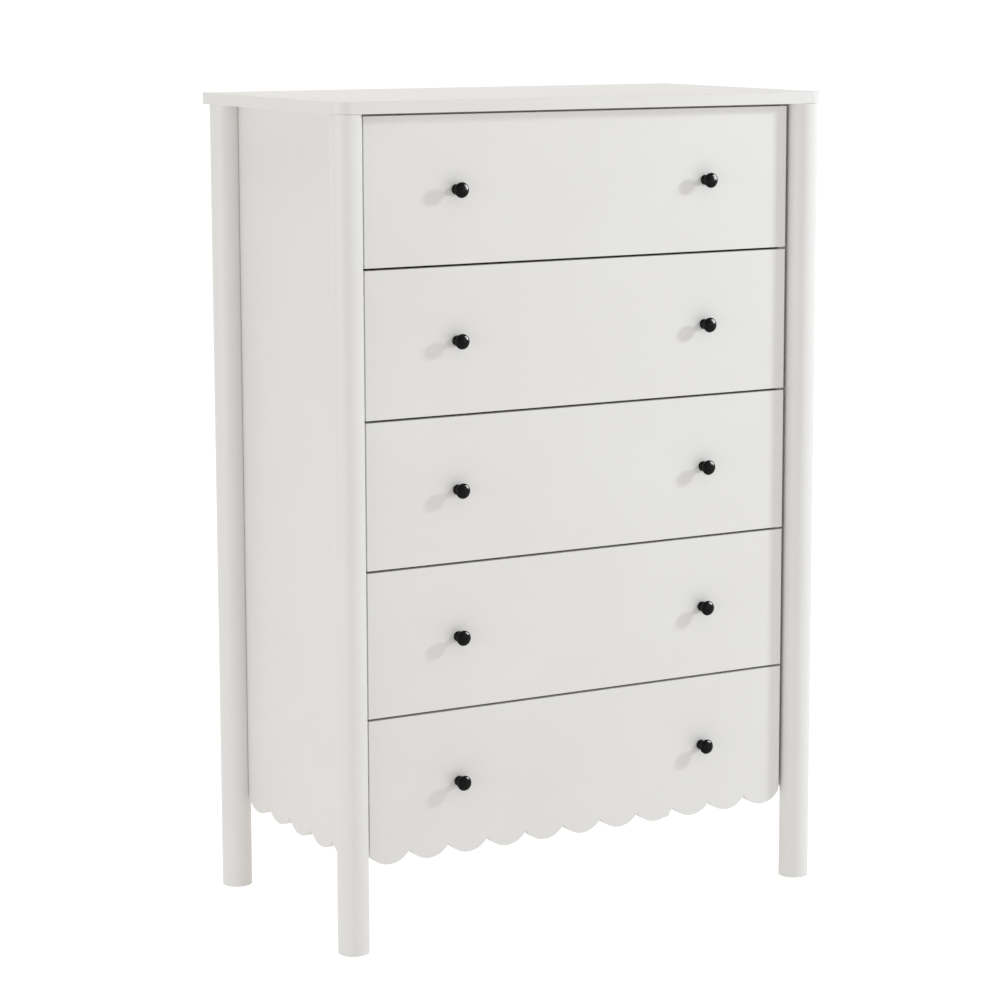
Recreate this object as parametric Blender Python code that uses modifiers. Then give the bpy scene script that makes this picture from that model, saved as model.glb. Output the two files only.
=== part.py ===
"""Tall chest of five drawers: four round posts, a thin flat top, panelled sides with a
scalloped lower edge, flat drawer fronts with two small black knobs each, and drawer
boxes on side runners.

Units are metres and +Z is up. X is the width and the front faces -Y. The origin is on
the floor, under the middle of the chest.
"""

import math

import bmesh
import bpy

# Overall size
WIDTH = 0.808
DEPTH = 0.440
HEIGHT = 1.200

# Clearance between pieces that touch
GAP = 0.0003

# Posts and top
POST_RADIUS = 0.0223
POST_SEGMENTS = 64
TOP_THICKNESS = 0.017
TOP_LIP_SIDE = 0.0023
TOP_LIP_FRONT = 0.0018
TOP_CORNER_STEPS = 10

POST_X = WIDTH / 2 - TOP_LIP_SIDE - POST_RADIUS
POST_Y = DEPTH / 2 - TOP_LIP_FRONT - POST_RADIUS
UNDER_TOP = HEIGHT - TOP_THICKNESS

# Side panels: flat boards with a tongue that sits in a rebate along each post
PANEL_OUTER_X = 0.3673
PANEL_THICKNESS = 0.015
PANEL_HALF_SPAN = 0.1769
PANEL_CUSP_Z = 0.1392
PANEL_SCALLOPS = 5
TONGUE_THICKNESS = 0.007
TONGUE_REACH = 0.1823
TONGUE_START_Z = 0.150
SHOULDER_Y = 0.1754

PANEL_INNER_X = PANEL_OUTER_X - PANEL_THICKNESS
TONGUE_INNER_X = PANEL_OUTER_X - TONGUE_THICKNESS

# Scalloped edges
SCALLOP_DEPTH = 0.0177
SCALLOP_STEPS = 10

# Back panel, in the rear rebate of the side panels
BACK_THICKNESS = 0.005
BACK_START_Z = 0.141

# Rails between the side panels
RAIL_DEPTH = 0.060
TOP_RAIL_HEIGHT = 0.022
BOTTOM_RAIL_LOW_Z = 0.1396
BOTTOM_RAIL_HEIGHT = 0.0146
FRONT_RAIL_Y = -0.1735

# Drawer fronts
DRAWER_COUNT = 5
DRAWER_PITCH = 0.212
DRAWER_GAP = 0.0034
FIRST_FRONT_TOP = 1.179
FRONT_WIDTH = 0.7032
FRONT_THICKNESS = 0.017
FRONT_FACE_Y = -0.1944
FRONT_SCALLOPS = 11
FRONT_CUSP_LIFT = 0.0145

FRONT_HEIGHT = DRAWER_PITCH - DRAWER_GAP

# Drawer boxes, in the drawer's own frame: the origin is the middle of the front's face
BOX_BOARD = 0.012
BOX_HEIGHT = 0.150
BOX_LIFT = 0.034
BOX_REAR_Y = 0.160
BOTTOM_THICKNESS = 0.004
BOTTOM_LIFT = 0.010
GROOVE_DEPTH = 0.005

# Side runners
RUNNER_SPACE = 0.0127
RUNNER_LENGTH = 0.330
RUNNER_HEIGHT = 0.035
RUNNER_DEPTH = 0.0100
RUNNER_SHEET = 0.0012
RUNNER_LIFT = 0.060

BOX_OUTER_X = PANEL_INNER_X - RUNNER_SPACE
BOX_INNER_X = BOX_OUTER_X - BOX_BOARD

# Knobs: a round head on a thin neck, with a foot that flares to the front
KNOB_X = 0.2075
KNOB_LENGTH = 0.0212
KNOB_HEAD_RADIUS = 0.0112
KNOB_HEAD_CENTRE = 0.0163
KNOB_HEAD_FULLNESS = 2.2
KNOB_HEAD_ANGLES = (60, 40, 22, 5, -12, -32, -52)
KNOB_NECK_RADIUS = 0.0038
KNOB_NECK_HEIGHT = 0.0092
KNOB_FOOT_RADIUS = 0.0075
KNOB_FOOT_HEIGHT = 0.0012
KNOB_STEPS = 24

SIDES = (("left", -1), ("right", 1))


# ---------------------------------------------------------------- materials


def make_material(name, colour, roughness, metallic=0.0):
    material = bpy.data.materials.new(name)
    material.use_nodes = True
    shader = material.node_tree.nodes["Principled BSDF"]
    shader.inputs["Base Color"].default_value = (*colour, 1.0)
    shader.inputs["Roughness"].default_value = roughness
    shader.inputs["Metallic"].default_value = metallic
    return material


def make_materials():
    return {
        "paint": make_material("white_satin_paint", (0.80, 0.80, 0.78), 0.40),
        "box_wood": make_material("drawer_box_wood", (0.78, 0.66, 0.48), 0.55),
        "back_board": make_material("back_board", (0.74, 0.72, 0.68), 0.60),
        "knob": make_material("black_knob", (0.012, 0.012, 0.013), 0.18),
        "steel": make_material("runner_steel", (0.62, 0.63, 0.64), 0.35, 1.0),
    }


# ---------------------------------------------------------------- helpers


def clear_scene():
    for old in list(bpy.data.objects):
        bpy.data.objects.remove(old, do_unlink=True)


def new_collection(name):
    collection = bpy.data.collections.new(name)
    bpy.context.scene.collection.children.link(collection)
    return collection


def link_mesh(name, mesh, collection, material=None, parent=None):
    piece = bpy.data.objects.new(name, mesh)
    collection.objects.link(piece)
    piece.parent = parent
    if material:
        mesh.materials.append(material)
    return piece


def box_mesh(name, size):
    mesh = bpy.data.meshes.new(name)
    shape = bmesh.new()
    bmesh.ops.create_cube(shape, size=1.0)
    bmesh.ops.scale(shape, vec=size, verts=shape.verts)
    shape.to_mesh(mesh)
    shape.free()
    return mesh


def add_box(name, low, high, collection, material=None, parent=None):
    """A board from its low corner to its high corner, with its origin at its middle."""
    size = [top - bottom for bottom, top in zip(low, high)]
    piece = link_mesh(name, box_mesh(name, size), collection, material, parent)
    piece.location = [(bottom + top) / 2 for bottom, top in zip(low, high)]
    return piece


def add_outline(name, points, thickness, turn, place, parts, material, parent=None):
    """A flat board cut to a closed outline, made from a filled 2D curve."""
    curve = bpy.data.curves.new(name, "CURVE")
    curve.dimensions = "2D"
    curve.fill_mode = "BOTH"
    curve.extrude = thickness / 2
    spline = curve.splines.new("POLY")
    spline.points.add(len(points) - 1)
    for point, (across, up) in zip(spline.points, points):
        point.co = (across, up, 0.0, 1.0)
    spline.use_cyclic_u = True
    pattern = bpy.data.objects.new(name + "_outline", curve)
    bpy.context.scene.collection.objects.link(pattern)
    graph = bpy.context.evaluated_depsgraph_get()
    mesh = bpy.data.meshes.new_from_object(pattern.evaluated_get(graph))
    bpy.data.objects.remove(pattern, do_unlink=True)
    shape = bmesh.new()
    shape.from_mesh(mesh)
    bmesh.ops.remove_doubles(shape, verts=shape.verts, dist=0.00001)
    for way in (-1, 1):
        cap = [face for face in shape.faces if way * face.calc_center_median().z > thickness / 4]
        bmesh.ops.dissolve_faces(shape, faces=cap)
    bmesh.ops.recalc_face_normals(shape, faces=shape.faces)
    shape.to_mesh(mesh)
    shape.free()
    mesh.materials.clear()
    piece = link_mesh(name, mesh, parts, material, parent)
    piece.rotation_euler = turn
    piece.location = place
    return piece


def cut_box(piece, low, high, cutters):
    """Cuts a box out of a piece. The corners are in the frame of the piece's parent."""
    name = "cut_" + piece.name
    cutter = add_box(name, low, high, cutters, parent=piece.parent)
    cutter.hide_render = True
    cutter.display_type = "WIRE"
    cut = piece.modifiers.new("cut", "BOOLEAN")
    cut.operation = "DIFFERENCE"
    cut.solver = "EXACT"
    cut.object = cutter


def scalloped_edge(half_span, cusp_z, count):
    """Equal round lobes that hang below cusp_z, from -half_span to +half_span."""
    lobe = 2 * half_span / count
    radius = ((lobe / 2) ** 2 + SCALLOP_DEPTH**2) / (2 * SCALLOP_DEPTH)
    reach = math.asin(lobe / 2 / radius)
    points = []
    for number in range(count):
        middle = -half_span + lobe * (number + 0.5)
        for step in range(SCALLOP_STEPS):
            angle = reach * (2 * step / SCALLOP_STEPS - 1)
            drop = radius * (math.cos(angle) - math.cos(reach))
            points.append((middle + radius * math.sin(angle), cusp_z - drop))
    points.append((half_span, cusp_z))
    return points


# ---------------------------------------------------------------- carcass

UPRIGHT_FACING_FRONT = (math.pi / 2, 0.0, 0.0)
UPRIGHT_FACING_SIDE = (math.pi / 2, 0.0, math.pi / 2)
LYING_FLAT = (0.0, 0.0, 0.0)


def make_top(parts, material):
    """The flat top: round front corners that follow the posts, square rear corners."""
    half_width = WIDTH / 2
    half_depth = DEPTH / 2
    radius = POST_RADIUS + TOP_LIP_FRONT
    points = [(half_width, half_depth), (-half_width, half_depth)]
    for side, start in ((-1, math.pi), (1, 1.5 * math.pi)):
        centre_x = side * (half_width - radius)
        for step in range(TOP_CORNER_STEPS + 1):
            angle = start + 0.5 * math.pi * step / TOP_CORNER_STEPS
            across = centre_x + radius * math.cos(angle)
            points.append((across, radius - half_depth + radius * math.sin(angle)))
    place = (0.0, 0.0, HEIGHT - TOP_THICKNESS / 2)
    add_outline("top_panel", points, TOP_THICKNESS, LYING_FLAT, place, parts, material)


def post_mesh(name, height):
    mesh = bpy.data.meshes.new(name)
    shape = bmesh.new()
    bmesh.ops.create_cone(
        shape,
        cap_ends=True,
        segments=POST_SEGMENTS,
        radius1=POST_RADIUS,
        radius2=POST_RADIUS,
        depth=height,
    )
    shape.to_mesh(mesh)
    shape.free()
    mesh.shade_smooth()
    mesh.set_sharp_from_angle(angle=math.radians(30))
    return mesh


def make_posts(parts, cutters, material):
    """Round posts from the floor to the top, each with a rebate for a panel's tongue."""
    height = UNDER_TOP - GAP
    for end, front_or_rear in (("front", -1), ("rear", 1)):
        for side, way in SIDES:
            name = "leg_" + end + "_" + side
            post = link_mesh(name, post_mesh(name, height), parts, material)
            post.location = (way * POST_X, front_or_rear * POST_Y, height / 2)
            across = sorted((way * (PANEL_OUTER_X + GAP), way * (POST_X - 2 * POST_RADIUS)))
            along = sorted((front_or_rear * (TONGUE_REACH + GAP), 0.0))
            low = (across[0], along[0], TONGUE_START_Z - GAP)
            high = (across[1], along[1], HEIGHT)
            cut_box(post, low, high, cutters)


def make_side_panels(parts, cutters, material):
    """Flat side boards: scalloped below, tongued into the posts, shouldered inside."""
    points = scalloped_edge(PANEL_HALF_SPAN, PANEL_CUSP_Z, PANEL_SCALLOPS)
    points += [(PANEL_HALF_SPAN, TONGUE_START_Z), (TONGUE_REACH, TONGUE_START_Z)]
    points += [(TONGUE_REACH, UNDER_TOP - GAP), (-TONGUE_REACH, UNDER_TOP - GAP)]
    points += [(-TONGUE_REACH, TONGUE_START_Z), (-PANEL_HALF_SPAN, TONGUE_START_Z)]
    for side, way in SIDES:
        place = (way * (PANEL_OUTER_X + PANEL_INNER_X) / 2, 0.0, 0.0)
        panel = add_outline(
            "side_panel_" + side,
            points,
            PANEL_THICKNESS,
            UPRIGHT_FACING_SIDE,
            place,
            parts,
            material,
        )
        across = sorted((way * TONGUE_INNER_X, way * (PANEL_INNER_X - PANEL_THICKNESS)))
        for end in (-1, 1):
            along = sorted((end * SHOULDER_Y, end * POST_Y))
            low = (across[0], along[0], 0.0)
            high = (across[1], along[1], HEIGHT)
            cut_box(panel, low, high, cutters)


def make_back_panel(parts, material):
    half_width = TONGUE_INNER_X - GAP
    front_y = SHOULDER_Y + GAP
    low = (-half_width, front_y, BACK_START_Z)
    high = (half_width, front_y + BACK_THICKNESS, UNDER_TOP - GAP)
    add_box("back_panel", low, high, parts, material)


def make_rails(parts, material):
    """Flat rails that tie the side panels together under the top and at the bottom."""
    half_width = PANEL_INNER_X - GAP
    top_z = UNDER_TOP - GAP
    heights = {
        "top": (top_z - TOP_RAIL_HEIGHT, top_z),
        "bottom": (BOTTOM_RAIL_LOW_Z, BOTTOM_RAIL_LOW_Z + BOTTOM_RAIL_HEIGHT),
    }
    places = {
        "front": (FRONT_RAIL_Y, FRONT_RAIL_Y + RAIL_DEPTH),
        "rear": (SHOULDER_Y - RAIL_DEPTH, SHOULDER_Y),
    }
    for end, (near_y, far_y) in places.items():
        for level, (low_z, high_z) in heights.items():
            low = (-half_width, near_y, low_z)
            high = (half_width, far_y, high_z)
            add_box(level + "_rail_" + end, low, high, parts, material)


# ---------------------------------------------------------------- drawers


def front_top(number):
    return FIRST_FRONT_TOP - DRAWER_PITCH * (number - 1)


def drawer_origin(number, parts):
    """The empty that carries a drawer, at the middle of the front's face."""
    origin = bpy.data.objects.new("drawer_" + str(number), None)
    origin.empty_display_size = 0.05
    origin.location = (0.0, FRONT_FACE_Y, front_top(number) - FRONT_HEIGHT / 2)
    parts.objects.link(origin)
    return origin


def front_outline(scalloped):
    half_width = FRONT_WIDTH / 2
    half_height = FRONT_HEIGHT / 2
    if scalloped:
        low_edge = scalloped_edge(half_width, FRONT_CUSP_LIFT - half_height, FRONT_SCALLOPS)
    else:
        low_edge = [(-half_width, -half_height), (half_width, -half_height)]
    return low_edge + [(half_width, half_height), (-half_width, half_height)]


def make_front(name, scalloped, origin, groove, parts, cutters, material):
    """The flat drawer front, grooved behind for the drawer's bottom."""
    points = front_outline(scalloped)
    place = (0.0, FRONT_THICKNESS / 2, 0.0)
    turn = UPRIGHT_FACING_FRONT
    front = add_outline(name, points, FRONT_THICKNESS, turn, place, parts, material, origin)
    half_width = BOX_INNER_X + GROOVE_DEPTH
    low = (-half_width, FRONT_THICKNESS - GROOVE_DEPTH, groove[0])
    high = (half_width, 2 * FRONT_THICKNESS, groove[1])
    cut_box(front, low, high, cutters)


def make_box(name, origin, groove, parts, cutters, material):
    """Two sides, a back and a bottom that slides in grooves under the back."""
    low_z = BOX_LIFT - FRONT_HEIGHT / 2
    high_z = low_z + BOX_HEIGHT
    near_y = FRONT_THICKNESS + GAP
    rear_y = BOX_REAR_Y - FRONT_FACE_Y
    for side, way in SIDES:
        across = sorted((way * BOX_INNER_X, way * BOX_OUTER_X))
        low = (across[0], near_y, low_z)
        high = (across[1], rear_y, high_z)
        board = add_box(name + "_side_" + side, low, high, parts, material, origin)
        across = sorted((0.0, way * (BOX_INNER_X + GROOVE_DEPTH)))
        low = (across[0], 0.0, groove[0])
        high = (across[1], rear_y + FRONT_THICKNESS, groove[1])
        cut_box(board, low, high, cutters)
    half_width = BOX_INNER_X - GAP
    low = (-half_width, rear_y - BOX_BOARD, groove[1])
    high = (half_width, rear_y, high_z)
    add_box(name + "_back", low, high, parts, material, origin)
    half_width = BOX_INNER_X + GROOVE_DEPTH - GAP
    low = (-half_width, FRONT_THICKNESS - GROOVE_DEPTH + GAP, groove[0] + GAP)
    high = (half_width, rear_y, groove[1] - GAP)
    add_box(name + "_bottom", low, high, parts, material, origin)


def knob_profile():
    """From the middle of the face, over the rim, down the neck and out to the foot."""
    half_depth = KNOB_LENGTH - KNOB_HEAD_CENTRE
    power = 2 / KNOB_HEAD_FULLNESS
    points = [(0.0, KNOB_LENGTH)]
    for degrees in KNOB_HEAD_ANGLES:
        angle = math.radians(degrees)
        height = math.copysign(abs(math.sin(angle)) ** power, angle) * half_depth
        points.append((KNOB_HEAD_RADIUS * math.cos(angle) ** power, KNOB_HEAD_CENTRE + height))
    back_radius, back_height = points[-1]
    for fraction in (0.5, 1.0):
        radius = KNOB_NECK_RADIUS + (back_radius - KNOB_NECK_RADIUS) * (1 - fraction) ** 2
        points.append((radius, back_height + (KNOB_NECK_HEIGHT - back_height) * fraction))
    for fraction in (0.4, 0.75, 1.0):
        radius = KNOB_NECK_RADIUS + (KNOB_FOOT_RADIUS - KNOB_NECK_RADIUS) * fraction**2
        height = KNOB_NECK_HEIGHT + (KNOB_FOOT_HEIGHT - KNOB_NECK_HEIGHT) * fraction
        points.append((radius, height))
    points.append((KNOB_FOOT_RADIUS, 0.0))
    points.append((0.0, 0.0))
    return points


def knob_mesh():
    mesh = bpy.data.meshes.new("knob")
    shape = bmesh.new()
    verts = [shape.verts.new((radius, 0.0, height)) for radius, height in knob_profile()]
    for first, second in zip(verts, verts[1:]):
        shape.edges.new((first, second))
    shape.to_mesh(mesh)
    shape.free()
    return mesh


def make_knobs(name, origin, mesh, parts):
    for side, way in SIDES:
        knob = link_mesh(name + "_knob_" + side, mesh, parts, parent=origin)
        knob.location = (way * KNOB_X, -GAP, 0.0)
        knob.rotation_euler = UPRIGHT_FACING_FRONT
        turn = knob.modifiers.new("turn", "SCREW")
        turn.steps = KNOB_STEPS
        turn.render_steps = KNOB_STEPS
        turn.merge_threshold = 0.00001
        turn.use_merge_vertices = True


def make_drawers(parts, cutters, materials):
    knob = knob_mesh()
    knob.materials.append(materials["knob"])
    bottom_z = BOX_LIFT + BOTTOM_LIFT - FRONT_HEIGHT / 2
    groove = (bottom_z - GAP, bottom_z + BOTTOM_THICKNESS + GAP)
    for number in range(1, DRAWER_COUNT + 1):
        name = "drawer_" + str(number)
        origin = drawer_origin(number, parts)
        scalloped = number == DRAWER_COUNT
        paint = materials["paint"]
        make_front(name + "_front", scalloped, origin, groove, parts, cutters, paint)
        make_box(name, origin, groove, parts, cutters, materials["box_wood"])
        make_knobs(name, origin, knob, parts)


# ---------------------------------------------------------------- runners


def runner_outline(way):
    """A steel channel, open towards the drawer: its web lies on the side panel."""
    web = -way * RUNNER_DEPTH / 2
    tip = way * RUNNER_DEPTH / 2
    inner = web + way * RUNNER_SHEET
    half = RUNNER_HEIGHT / 2
    lip = half - RUNNER_SHEET
    return [
        (web, -half),
        (tip, -half),
        (tip, -lip),
        (inner, -lip),
        (inner, lip),
        (tip, lip),
        (tip, half),
        (web, half),
    ]


def make_runners(parts, material):
    middle_x = PANEL_INNER_X - GAP - RUNNER_DEPTH / 2
    for number in range(1, DRAWER_COUNT + 1):
        height = front_top(number) - FRONT_HEIGHT + BOX_LIFT + RUNNER_LIFT
        for side, way in SIDES:
            place = (way * middle_x, FRONT_RAIL_Y + RUNNER_LENGTH / 2, height)
            add_outline(
                "runner_" + str(number) + "_" + side,
                runner_outline(-way),
                RUNNER_LENGTH,
                UPRIGHT_FACING_FRONT,
                place,
                parts,
                material,
            )


def main():
    clear_scene()
    parts = new_collection("tall_chest_of_drawers")
    cutters = new_collection("cutters")
    materials = make_materials()
    make_top(parts, materials["paint"])
    make_posts(parts, cutters, materials["paint"])
    make_side_panels(parts, cutters, materials["paint"])
    make_back_panel(parts, materials["back_board"])
    make_rails(parts, materials["paint"])
    make_drawers(parts, cutters, materials)
    make_runners(parts, materials["steel"])


main()
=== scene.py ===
"""Looks for the tall chest of drawers: satin off-white paint, gloss black knobs, pale
plywood drawer boxes on steel runners, and plain studio light on a pale floor.

Lengths are metres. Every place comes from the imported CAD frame.
"""

import math

import bmesh
import bpy
from mathutils import Matrix, Vector


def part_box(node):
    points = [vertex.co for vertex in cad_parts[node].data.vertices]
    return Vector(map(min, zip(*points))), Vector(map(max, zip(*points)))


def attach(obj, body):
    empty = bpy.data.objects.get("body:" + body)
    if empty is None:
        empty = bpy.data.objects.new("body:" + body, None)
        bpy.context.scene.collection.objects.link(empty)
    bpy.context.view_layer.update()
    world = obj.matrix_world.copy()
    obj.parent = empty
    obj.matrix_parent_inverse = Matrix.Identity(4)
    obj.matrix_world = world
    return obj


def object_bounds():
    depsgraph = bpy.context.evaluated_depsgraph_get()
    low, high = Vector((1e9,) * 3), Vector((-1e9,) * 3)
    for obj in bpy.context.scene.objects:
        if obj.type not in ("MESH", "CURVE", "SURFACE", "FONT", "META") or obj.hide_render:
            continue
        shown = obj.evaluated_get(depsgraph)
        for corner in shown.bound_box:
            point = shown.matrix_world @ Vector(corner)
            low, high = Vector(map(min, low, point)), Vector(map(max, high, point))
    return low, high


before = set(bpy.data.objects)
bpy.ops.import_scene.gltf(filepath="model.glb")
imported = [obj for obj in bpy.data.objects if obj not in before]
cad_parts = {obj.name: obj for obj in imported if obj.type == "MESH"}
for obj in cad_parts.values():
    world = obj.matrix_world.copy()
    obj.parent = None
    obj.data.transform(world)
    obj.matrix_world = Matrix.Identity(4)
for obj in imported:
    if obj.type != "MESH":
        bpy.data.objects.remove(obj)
cad_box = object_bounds()

DRAWERS = (
    (1, "top_drawer"),
    (2, "second_drawer"),
    (3, "middle_drawer"),
    (4, "fourth_drawer"),
    (5, "bottom_drawer"),
)
SIDES = (("left", -1), ("right", 1))


# ---------------------------------------------------------------- materials

PLY_THICKNESS = 0.0017
FACING_LEAST = 0.7


class Shader:
    """A node material with a Principled shader, built one node at a time."""

    def __init__(self, name, colour, roughness, **constants):
        self.material = bpy.data.materials.new(name)
        self.material.use_nodes = True
        self.tree = self.material.node_tree
        self.principled = self.tree.nodes["Principled BSDF"]
        self.principled.inputs["Base Color"].default_value = (*colour, 1.0)
        self.principled.inputs["Roughness"].default_value = roughness
        for label, value in constants.items():
            self.principled.inputs[label.replace("_", " ")].default_value = value
        self.place = self.add("ShaderNodeTexCoord").outputs["Object"]

    def add(self, kind, **settings):
        node = self.tree.nodes.new(kind)
        for label, value in settings.items():
            setattr(node, label, value)
        return node

    def link(self, source, target):
        self.tree.links.new(source, target)

    def stretched(self, scale):
        """The object's coordinates, scaled along each axis."""
        mapping = self.add("ShaderNodeMapping")
        mapping.inputs["Scale"].default_value = scale
        self.link(self.place, mapping.inputs["Vector"])
        return mapping.outputs["Vector"]

    def noise(self, scale, detail=2.0, rough=0.5, place=None):
        """A factor that is mostly between 0.3 and 0.7."""
        node = self.add("ShaderNodeTexNoise")
        node.inputs["Scale"].default_value = scale
        node.inputs["Detail"].default_value = detail
        node.inputs["Roughness"].default_value = rough
        self.link(place or self.place, node.inputs["Vector"])
        return node.outputs["Fac"]

    def ramp(self, factor, stops):
        """Colours at places from 0 to 1 along a factor."""
        node = self.add("ShaderNodeValToRGB")
        elements = node.color_ramp.elements
        while len(elements) < len(stops):
            elements.new(0.5)
        for element, (place, colour) in zip(elements, stops):
            element.position = place
            element.color = (*colour, 1.0)
        self.link(factor, node.inputs["Fac"])
        return node.outputs["Color"]

    def spread(self, factor, low, high):
        """A factor of 0.3 to 0.7 taken to the range low to high."""
        node = self.add("ShaderNodeMapRange")
        node.inputs["From Min"].default_value = 0.3
        node.inputs["From Max"].default_value = 0.7
        node.inputs["To Min"].default_value = low
        node.inputs["To Max"].default_value = high
        self.link(factor, node.inputs["Value"])
        return node.outputs["Result"]

    def bump(self, height, distance, strength, under=None):
        """A normal from a height, laid over another normal if one is given."""
        node = self.add("ShaderNodeBump")
        node.inputs["Strength"].default_value = strength
        node.inputs["Distance"].default_value = distance
        self.link(height, node.inputs["Height"])
        if under:
            self.link(under, node.inputs["Normal"])
        return node.outputs["Normal"]

    def math(self, operation, first, second=None):
        """A sum on a linked value, with a plain number as its second term."""
        node = self.add("ShaderNodeMath", operation=operation)
        self.link(first, node.inputs[0])
        if second is not None:
            node.inputs[1].default_value = second
        return node.outputs["Value"]

    def component(self, vector, axis):
        node = self.add("ShaderNodeSeparateXYZ")
        self.link(vector, node.inputs["Vector"])
        return node.outputs[axis]

    def facing(self, axis):
        """1 on the faces that look along an axis, 0 on the others."""
        normal = self.add("ShaderNodeNewGeometry").outputs["Normal"]
        size = self.math("ABSOLUTE", self.component(normal, axis))
        return self.math("GREATER_THAN", size, FACING_LEAST)

    def ply_lines(self, axis):
        """A wave from 0 to 1 that repeats with every two plies along an axis."""
        place = self.component(self.place, axis)
        return self.math("PINGPONG", self.math("MULTIPLY", place, 1.0 / PLY_THICKNESS), 1.0)

    def mix(self, factor, off, on):
        """One colour where the factor is 0 and another where it is 1."""
        node = self.add("ShaderNodeMix", data_type="RGBA")
        self.link(factor, node.inputs["Factor"])
        self.link(off, node.inputs["A"])
        self.link(on, node.inputs["B"])
        return node.outputs["Result"]

    def set(self, label, source):
        self.link(source, self.principled.inputs[label])


def paint_material():
    """Sprayed satin paint on smooth board: faint orange peel and slow unevenness."""
    shader = Shader("white_satin_paint", (0.80, 0.79, 0.77), 0.38)
    clouds = shader.noise(5.0, detail=3.0)
    stops = ((0.3, (0.795, 0.785, 0.768)), (0.7, (0.815, 0.808, 0.793)))
    shader.set("Base Color", shader.ramp(clouds, stops))
    shader.set("Roughness", shader.spread(shader.noise(38.0, detail=4.0), 0.34, 0.42))
    peel = shader.bump(shader.noise(420.0, detail=1.0), 0.00012, 0.35)
    slow = shader.bump(shader.noise(16.0, detail=1.0), 0.0006, 0.25, under=peel)
    shader.set("Normal", slow)
    return shader.material


def plywood_material(name, grain, across):
    """Pale lacquered plywood: grain along one axis, ply lines across the board's thickness."""
    along = "XYZ".index(grain)
    shader = Shader(name, (0.74, 0.60, 0.42), 0.5, Coat_Weight=0.1)
    stretch = [14.0, 14.0, 14.0]
    stretch[along] = 0.9
    streaks = shader.noise(4.0, detail=6.0, rough=0.6, place=shader.stretched(stretch))
    stops = (
        (0.30, (0.64, 0.49, 0.32)),
        (0.48, (0.76, 0.62, 0.44)),
        (0.70, (0.82, 0.70, 0.53)),
    )
    face = shader.ramp(streaks, stops)
    plies = shader.ply_lines(across)
    edge = shader.ramp(plies, ((0.25, (0.74, 0.60, 0.42)), (0.75, (0.47, 0.33, 0.20))))
    shader.set("Base Color", shader.mix(shader.facing(across), edge, face))
    shader.set("Roughness", shader.spread(streaks, 0.58, 0.44))
    stretch = [260.0, 260.0, 260.0]
    stretch[along] = 9.0
    pores = shader.noise(3.0, detail=2.0, place=shader.stretched(stretch))
    shader.set("Normal", shader.bump(pores, 0.0001, 0.5))
    return shader.material


def hardboard_material():
    """Thin painted hardboard, with the fine pressed fibre of its face."""
    shader = Shader("painted_hardboard", (0.74, 0.72, 0.68), 0.6)
    fibre = shader.noise(160.0, detail=5.0, rough=0.65)
    stops = ((0.3, (0.70, 0.68, 0.64)), (0.7, (0.77, 0.75, 0.71)))
    shader.set("Base Color", shader.ramp(fibre, stops))
    shader.set("Roughness", shader.spread(fibre, 0.55, 0.68))
    shader.set("Normal", shader.bump(fibre, 0.00015, 0.5))
    return shader.material


def knob_material():
    """Black enamel with a soft gloss, and a little waviness in its film."""
    shader = Shader("black_enamel", (0.003, 0.003, 0.003), 0.2, Specular_IOR_Level=0.13)
    film = shader.noise(120.0, detail=2.0)
    stops = ((0.3, (0.002, 0.002, 0.002)), (0.7, (0.004, 0.004, 0.004)))
    shader.set("Base Color", shader.ramp(film, stops))
    shader.set("Roughness", shader.spread(film, 0.17, 0.23))
    shader.set("Normal", shader.bump(film, 0.00004, 0.3))
    return shader.material


def steel_material():
    """Zinc-plated rolled steel, with rolling lines along the runner."""
    shader = Shader("zinc_plated_steel", (0.60, 0.61, 0.62), 0.34, Metallic=1.0)
    lines = shader.noise(6.0, detail=4.0, place=shader.stretched((180.0, 2.0, 180.0)))
    stops = ((0.3, (0.52, 0.53, 0.55)), (0.7, (0.67, 0.68, 0.69)))
    shader.set("Base Color", shader.ramp(lines, stops))
    shader.set("Roughness", shader.spread(lines, 0.28, 0.42))
    shader.set("Normal", shader.bump(lines, 0.00003, 0.4))
    return shader.material


# ---------------------------------------------------------------- CAD nodes

EDGE_ROUND = 0.0004
EDGE_ROUND_KNOB = 0.0003
WELD_DISTANCE = 0.00001
EDGE_ANGLE = math.radians(28)
FLAT_ANGLE = math.radians(0.3)


def soften_edges(piece, width):
    """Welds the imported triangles, merges the flat faces and rounds the edges."""
    mesh = piece.data
    if "custom_normal" in mesh.attributes:
        mesh.attributes.remove(mesh.attributes["custom_normal"])
    mesh.shade_smooth()
    weld = piece.modifiers.new("weld", "WELD")
    weld.merge_threshold = WELD_DISTANCE
    flat = piece.modifiers.new("flat", "DECIMATE")
    flat.decimate_type = "DISSOLVE"
    flat.angle_limit = FLAT_ANGLE
    edges = piece.modifiers.new("edges", "BEVEL")
    edges.width = width
    edges.segments = 3
    edges.limit_method = "ANGLE"
    edges.angle_limit = EDGE_ANGLE
    edges.harden_normals = True


def dress_nodes(materials):
    """Gives every CAD node its material and its small edge rounding."""
    for name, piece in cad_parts.items():
        if name.startswith("runner"):
            material = materials["steel"]
        elif name == "back_panel":
            material = materials["hardboard"]
        elif "_side_" in name and name.startswith("drawer"):
            material = materials["plywood_y"]
        elif name.endswith("_back") or name.endswith("_bottom"):
            material = materials["plywood_x"]
        elif "knob" in name:
            material = materials["knob"]
        else:
            material = materials["paint"]
        piece.data.materials.clear()
        piece.data.materials.append(material)
        thin = name.startswith("runner") or "knob" in name
        soften_edges(piece, EDGE_ROUND_KNOB if thin else EDGE_ROUND)


# ---------------------------------------------------------------- hardware

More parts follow.
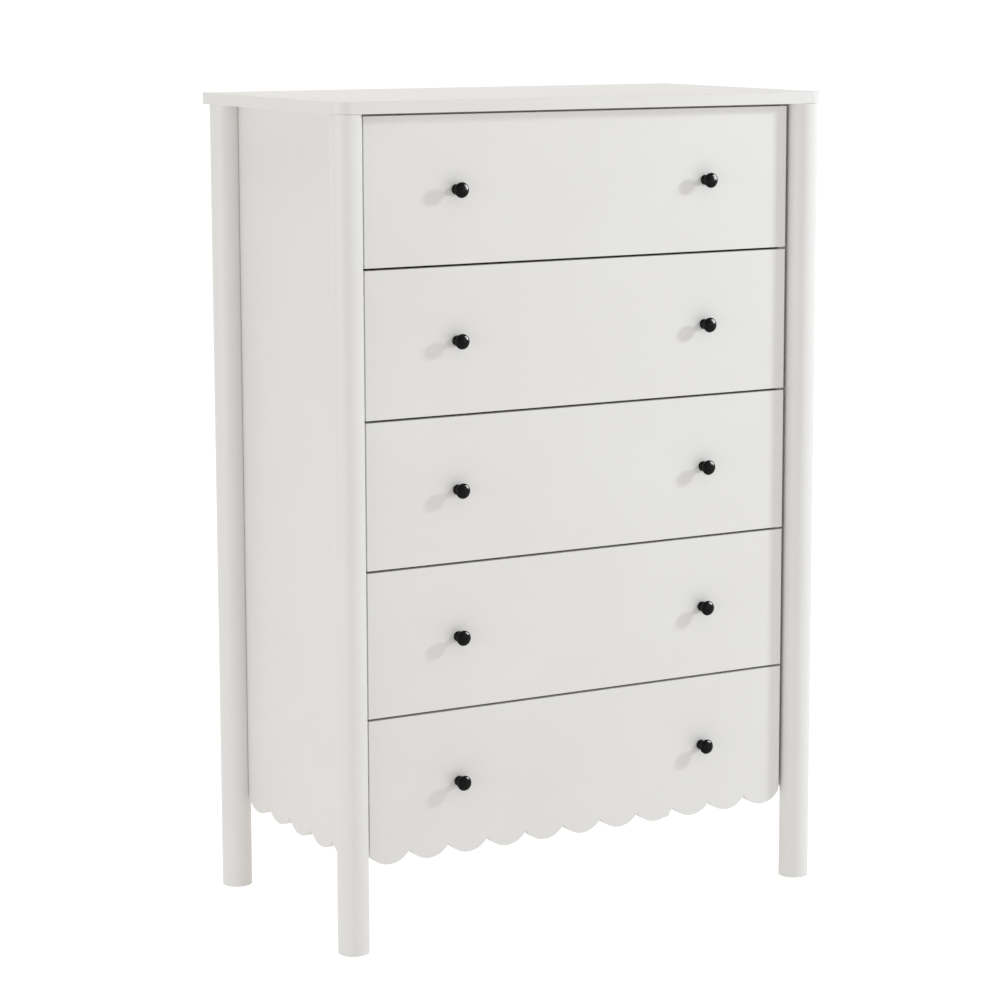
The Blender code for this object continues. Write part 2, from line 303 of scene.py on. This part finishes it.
SHEET = 0.0012
MEMBER_CLEAR = 0.0002
MEMBER_HALF_HEIGHT = 0.0120
MEMBER_TIP = 0.0030
MEMBER_START = 0.0015
MEMBER_LENGTH = 0.312
MEMBER_SCREWS = (0.040, 0.150, 0.270)
RUNNER_SCREWS = (0.100, 0.200, 0.300)

BALL_RADIUS = 0.0020
BALL_PITCH = 0.0085
BALL_COUNT = 7
CAGE_SHEET = 0.0006
CAGE_CLEAR = 0.0010
CAGE_START = 0.0060

# Turned profiles: (radius, height, is it part of the cross recess)
PAN_HEAD = (
    (0.0, 0.0004, False),
    (0.0014, 0.0004, True),
    (0.0018, 0.0011, True),
    (0.0024, 0.0010, False),
    (0.0031, 0.0006, False),
    (0.0034, 0.0, False),
    (0.0, 0.0, False),
)
DOME_HEAD_AND_WASHER = (
    (0.0, 0.0020, False),
    (0.0014, 0.0020, True),
    (0.0018, 0.0034, True),
    (0.0030, 0.0031, False),
    (0.0038, 0.0022, False),
    (0.0041, 0.0010, False),
    (0.0060, 0.0010, False),
    (0.0063, 0.0007, False),
    (0.0063, 0.0, False),
    (0.0, 0.0, False),
)
TURN_STEPS = 24
RECESS_ARM = 0.8
RECESS_WAIST = 0.5
SHARP_ANGLE = math.radians(35)
BACK_SCREW_INSET = 0.007
BACK_SCREW_SPACING = 0.16


def make_piece(name, shape, body, material):
    """Turns a bmesh into a piece that rides on a body and takes a slot's finish."""
    bmesh.ops.recalc_face_normals(shape, faces=shape.faces)
    mesh = bpy.data.meshes.new(name)
    shape.to_mesh(mesh)
    shape.free()
    mesh.materials.append(material)
    mesh.shade_smooth()
    mesh.set_sharp_from_angle(angle=SHARP_ANGLE)
    piece = bpy.data.objects.new(name, mesh)
    bpy.context.scene.collection.objects.link(piece)
    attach(piece, body)
    return piece


def add_strip(shape, section, start_y, end_y):
    """A bar along Y with a closed section of (x, z) points."""
    near, far = [[shape.verts.new((x, y, z)) for x, z in section] for y in (start_y, end_y)]
    shape.faces.new(near)
    shape.faces.new(far)
    for last in range(len(section)):
        shape.faces.new((near[last - 1], near[last], far[last], far[last - 1]))


def add_turned(shape, profile, centre, axis):
    """Turns a profile about an axis through its foot. A recess is cut as a cross."""
    axis = Vector(axis)
    across = axis.orthogonal().normalized()
    up = axis.cross(across)
    rings = []
    for radius, height, crossed in profile:
        middle = Vector(centre) + axis * height
        if radius == 0.0:
            rings.append([shape.verts.new(middle)] * TURN_STEPS)
            continue
        ring = []
        for step in range(TURN_STEPS):
            angle = 2 * math.pi * step / TURN_STEPS
            near_arm = abs(math.cos(2 * angle)) > RECESS_ARM
            reach = radius if near_arm or not crossed else radius * RECESS_WAIST
            outward = across * math.cos(angle) + up * math.sin(angle)
            ring.append(shape.verts.new(middle + reach * outward))
        rings.append(ring)
    for first, second in zip(rings, rings[1:]):
        for step in range(TURN_STEPS):
            after = (step + 1) % TURN_STEPS
            corners = []
            for vert in (first[step], first[after], second[after], second[step]):
                if vert not in corners:
                    corners.append(vert)
            shape.faces.new(corners)


def channel(web, tip, half_height, sheet, middle_z):
    """The section of a C channel whose web is at one X and whose lips end at another."""
    way = math.copysign(1, tip - web)
    inner = web + way * sheet
    lip = half_height - sheet
    outline = (
        (web, -half_height),
        (tip, -half_height),
        (tip, -lip),
        (inner, -lip),
        (inner, lip),
        (tip, lip),
        (tip, half_height),
        (web, half_height),
    )
    return [(x, z + middle_z) for x, z in outline]


def make_runner_member(number, side, way, body, steel):
    """The sliding member of a side runner, screwed to the drawer box."""
    board_low, board_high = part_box("drawer_" + str(number) + "_side_" + side)
    runner_low, runner_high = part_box("runner_" + str(number) + "_" + side)
    middle_z = (runner_low[2] + runner_high[2]) / 2
    board_x = board_high[0] if way > 0 else board_low[0]
    far_x = runner_high[0] if way > 0 else runner_low[0]
    web = board_x + way * MEMBER_CLEAR
    start = board_low[1] + MEMBER_START
    shape = bmesh.new()
    section = channel(web, far_x - way * MEMBER_TIP, MEMBER_HALF_HEIGHT, SHEET, middle_z)
    add_strip(shape, section, start, start + MEMBER_LENGTH)
    for along in MEMBER_SCREWS:
        add_turned(shape, PAN_HEAD, (web + way * SHEET, start + along, middle_z), (way, 0, 0))
    name = "drawer_" + str(number) + "_runner_member_" + side
    make_piece(name, shape, body, steel)


def make_ball_cage(number, side, way, steel):
    """Two rows of balls in a bent strip, between the members, and the fixed screws."""
    low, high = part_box("runner_" + str(number) + "_" + side)
    middle_z = (low[2] + high[2]) / 2
    far_x = high[0] if way > 0 else low[0]
    near_x = low[0] if way > 0 else high[0]
    web = far_x - way * (SHEET + CAGE_CLEAR)
    lane = (high[2] - low[2]) / 2 - SHEET
    ball_z = (lane + MEMBER_HALF_HEIGHT) / 2
    ball_x = (near_x + web) / 2
    start = low[1] + CAGE_START
    shape = bmesh.new()
    half = ball_z + CAGE_SHEET / 2
    section = channel(web, near_x + way * CAGE_CLEAR, half, CAGE_SHEET, middle_z)
    add_strip(shape, section, start, start + BALL_PITCH * BALL_COUNT)
    for ball in range(BALL_COUNT):
        for row in (-1, 1):
            place = (ball_x, start + BALL_PITCH * (ball + 0.5), middle_z + row * ball_z)
            where = Matrix.Translation(place)
            bmesh.ops.create_icosphere(shape, subdivisions=2, radius=BALL_RADIUS, matrix=where)
    for along in RUNNER_SCREWS:
        place = (far_x - way * SHEET, low[1] + along, middle_z)
        add_turned(shape, PAN_HEAD, place, (-way, 0, 0))
    name = "runner_" + str(number) + "_ball_cage_" + side
    make_piece(name, shape, "carcass", steel)


def make_knob_screws(number, body, steel):
    """The washered screws behind a drawer front that hold its knobs."""
    front_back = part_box("drawer_" + str(number) + "_front")[1][1]
    for side, way in SIDES:
        low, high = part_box("drawer_" + str(number) + "_knob_" + side)
        shape = bmesh.new()
        place = ((low[0] + high[0]) / 2, front_back, (low[2] + high[2]) / 2)
        add_turned(shape, DOME_HEAD_AND_WASHER, place, (0, 1, 0))
        name = "drawer_" + str(number) + "_knob_screw_" + side
        make_piece(name, shape, body, steel)


def make_back_screws(steel):
    """Small screws at an even spacing along the four edges of the back panel."""
    low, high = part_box("back_panel")
    shape = bmesh.new()
    left, right = low[0] + BACK_SCREW_INSET, high[0] - BACK_SCREW_INSET
    foot, head = low[2] + BACK_SCREW_INSET, high[2] - BACK_SCREW_INSET
    rows = round((head - foot) / BACK_SCREW_SPACING)
    columns = round((right - left) / BACK_SCREW_SPACING)
    places = []
    for row in range(rows + 1):
        up = foot + (head - foot) * row / rows
        places += [(left, up), (right, up)]
    for column in range(1, columns):
        across = left + (right - left) * column / columns
        places += [(across, foot), (across, head)]
    for across, up in places:
        add_turned(shape, PAN_HEAD, (across, high[1], up), (0, 1, 0))
    make_piece("back_panel_screws", shape, "carcass", steel)


def make_hardware(steel):
    for number, body in DRAWERS:
        make_knob_screws(number, body, steel)
        for side, way in SIDES:
            make_runner_member(number, side, way, body, steel)
            make_ball_cage(number, side, way, steel)
    make_back_screws(steel)


# ---------------------------------------------------------------- studio

CAMERA_PLACE = (-2.2549, -3.9180, 1.3599)
CAMERA_YAW = math.radians(30.57)
CAMERA_PITCH = math.radians(8.83)
CAMERA_LENS = 109.55
CAMERA_SHIFT = (-0.050, -0.045)
SENSOR_WIDTH = 36.0

WHITE = (1.0, 1.0, 1.0)
SKY_WHITE = (1.0, 0.985, 0.968)
WARM_WHITE = (1.0, 0.965, 0.94)
COOL_WHITE = (0.88, 0.945, 1.0)

FLOOR_SIZE = 400.0
FLOOR_COLOUR = (0.30, 0.30, 0.30)
FLOOR_ROUGHNESS = 0.9
FLOOR_GLOW_SEEN = 0.90
FLOOR_GLOW_LIT = 0.63
SKY_GLOW = 0.58

# Light sizes, from the key light's small box to the wide one over the rear
SMALL_BOX = (0.32, 0.32)
KNOB_BOX = (1.5, 1.5)
LARGE_BOX = (2.0, 2.0)
WIDE_BOX = (4.0, 4.0)
LIGHT_AIM = Vector((0.0, 0.0, (cad_box[0][2] + cad_box[1][2]) / 2))
KEY_PLACE = {"azimuth": 60.4, "distance": 2.88, "height": 1.82}


def make_camera():
    data = bpy.data.cameras.new("camera")
    data.lens = CAMERA_LENS
    data.sensor_width = SENSOR_WIDTH
    data.shift_x, data.shift_y = CAMERA_SHIFT
    camera = bpy.data.objects.new("camera", data)
    camera.location = CAMERA_PLACE
    camera.rotation_euler = (math.pi / 2 - CAMERA_PITCH, 0.0, -CAMERA_YAW)
    bpy.context.scene.collection.objects.link(camera)
    bpy.context.scene.camera = camera


def mix_seen(tree, lit, seen, output):
    """Joins the shader that lights the chest and the one that the lens sees."""
    rays = tree.nodes.new("ShaderNodeLightPath")
    mix = tree.nodes.new("ShaderNodeMixShader")
    tree.links.new(rays.outputs["Is Camera Ray"], mix.inputs["Fac"])
    tree.links.new(lit, mix.inputs[1])
    tree.links.new(seen, mix.inputs[2])
    tree.links.new(mix.outputs["Shader"], output.inputs["Surface"])


def make_world():
    """A white backdrop: seen white, and a dimmer even light on the chest."""
    world = bpy.data.worlds.new("studio")
    world.use_nodes = True
    tree = world.node_tree
    lit = tree.nodes["Background"]
    lit.inputs["Color"].default_value = (*SKY_WHITE, 1.0)
    lit.inputs["Strength"].default_value = SKY_GLOW
    seen = tree.nodes.new("ShaderNodeBackground")
    seen.inputs["Color"].default_value = (*WHITE, 1.0)
    output = tree.nodes["World Output"]
    mix_seen(tree, lit.outputs["Background"], seen.outputs["Background"], output)
    bpy.context.scene.world = world


def floor_material():
    """A pale matt floor: seen lit almost to white, and a dimmer light on the chest."""
    shader = Shader("studio_floor", FLOOR_COLOUR, FLOOR_ROUGHNESS)
    lit = shader.principled
    seen = shader.add("ShaderNodeBsdfPrincipled")
    for surface, colour, strength in (
        (lit, SKY_WHITE, FLOOR_GLOW_LIT),
        (seen, WHITE, FLOOR_GLOW_SEEN),
    ):
        surface.inputs["Base Color"].default_value = (*FLOOR_COLOUR, 1.0)
        surface.inputs["Roughness"].default_value = FLOOR_ROUGHNESS
        surface.inputs["Specular IOR Level"].default_value = 0.0
        surface.inputs["Emission Color"].default_value = (*colour, 1.0)
        surface.inputs["Emission Strength"].default_value = strength
    output = shader.tree.nodes["Material Output"]
    mix_seen(shader.tree, lit.outputs["BSDF"], seen.outputs["BSDF"], output)
    return shader.material


def make_floor():
    bpy.ops.mesh.primitive_plane_add(size=FLOOR_SIZE)
    floor = bpy.context.object
    floor.name = "floor"
    floor.data.materials.append(floor_material())


def make_area_light(name, colour, size, power, azimuth, distance, height):
    """A soft box that faces the middle of the chest. Azimuth 0 is in front, 90 at +X."""
    data = bpy.data.lights.new(name, "AREA")
    data.shape = "RECTANGLE"
    data.size, data.size_y = size
    data.energy = power
    data.color = colour
    light = bpy.data.objects.new(name, data)
    angle = math.radians(azimuth)
    light.location = (distance * math.sin(angle), -distance * math.cos(angle), height)
    towards = LIGHT_AIM - light.location
    light.rotation_euler = towards.to_track_quat("-Z", "Y").to_euler()
    bpy.context.scene.collection.objects.link(light)
    return light


def light_knobs_only(light):
    """Keeps a light to the gloss of the knobs, so that it leaves no glare on the top."""
    knobs = bpy.data.collections.new("knobs")
    for name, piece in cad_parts.items():
        if "knob" in name:
            knobs.objects.link(piece)
    light.light_linking.receiver_collection = knobs
    light.visible_diffuse = False
    light.visible_camera = False


def make_lights():
    """Azimuth in degrees, distance and height in metres, power in watts."""
    key = make_area_light("key_light", COOL_WHITE, SMALL_BOX, 37, **KEY_PLACE)
    key.visible_glossy = False
    glint = make_area_light("knob_light", WHITE, KNOB_BOX, 410, **KEY_PLACE)
    light_knobs_only(glint)
    make_area_light("front_light", WARM_WHITE, LARGE_BOX, 9, 25, 5.0, 0.3)
    make_area_light("left_light", WARM_WHITE, LARGE_BOX, 14, -60, 5.0, 0.8)
    make_area_light("side_light", COOL_WHITE, LARGE_BOX, 30, -82, 5.0, 0.7)
    make_area_light("rear_light", WARM_WHITE, WIDE_BOX, 110, 180, 2.2, 4.9)


def main():
    materials = {
        "paint": paint_material(),
        "plywood_x": plywood_material("plywood_grain_x", "X", across="Y"),
        "plywood_y": plywood_material("plywood_grain_y", "Y", across="X"),
        "hardboard": hardboard_material(),
        "knob": knob_material(),
        "steel": steel_material(),
    }
    dress_nodes(materials)
    make_hardware(materials["steel"])
    make_camera()
    make_world()
    make_floor()
    make_lights()
    bpy.context.scene.view_settings.view_transform = "Standard"


main()
